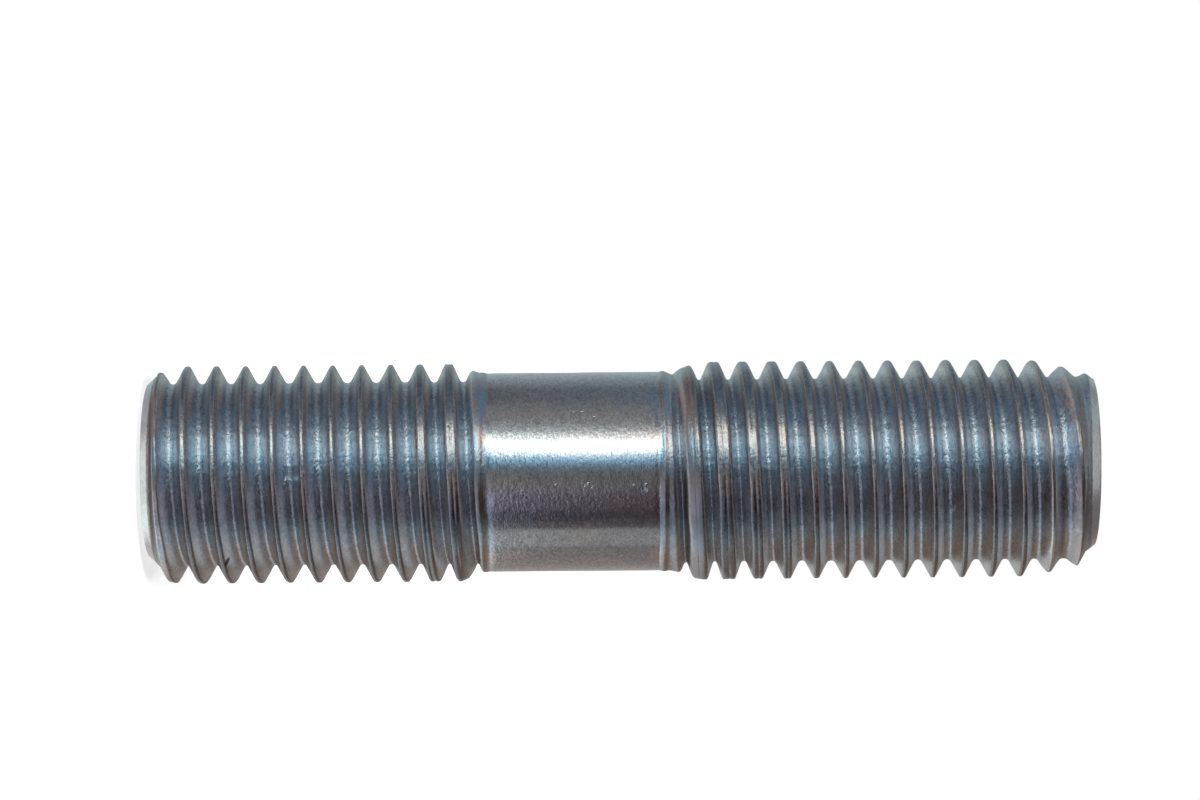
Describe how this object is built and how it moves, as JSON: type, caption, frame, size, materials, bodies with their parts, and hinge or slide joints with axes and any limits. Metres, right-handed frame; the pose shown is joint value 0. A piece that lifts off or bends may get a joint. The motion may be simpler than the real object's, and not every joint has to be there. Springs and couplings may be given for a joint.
{
  "type": "stud bolt",
  "caption": "Double-ended steel stud bolt: a short thread at one end, a long thread at the other, and a plain reduced shank between them, bright zinc plated.",
  "frame": {"origin": "centre of the tap (short-thread) end face, on the stud's axis", "axes": "+Z along the stud's axis, from the tap end up to the nut (long-thread) end; X and Y across it"},
  "size_m": [0.008, 0.008, 0.0347],
  "materials": {
    "zinc_steel": "bright blue-white zinc plating over cold-rolled steel: satin, fine-grained and slightly mottled, with small handling marks on the thread crests"
  },
  "bodies": {
    "root": {"stud_bolt": "zinc_steel"}
  },
  "joints": []
}
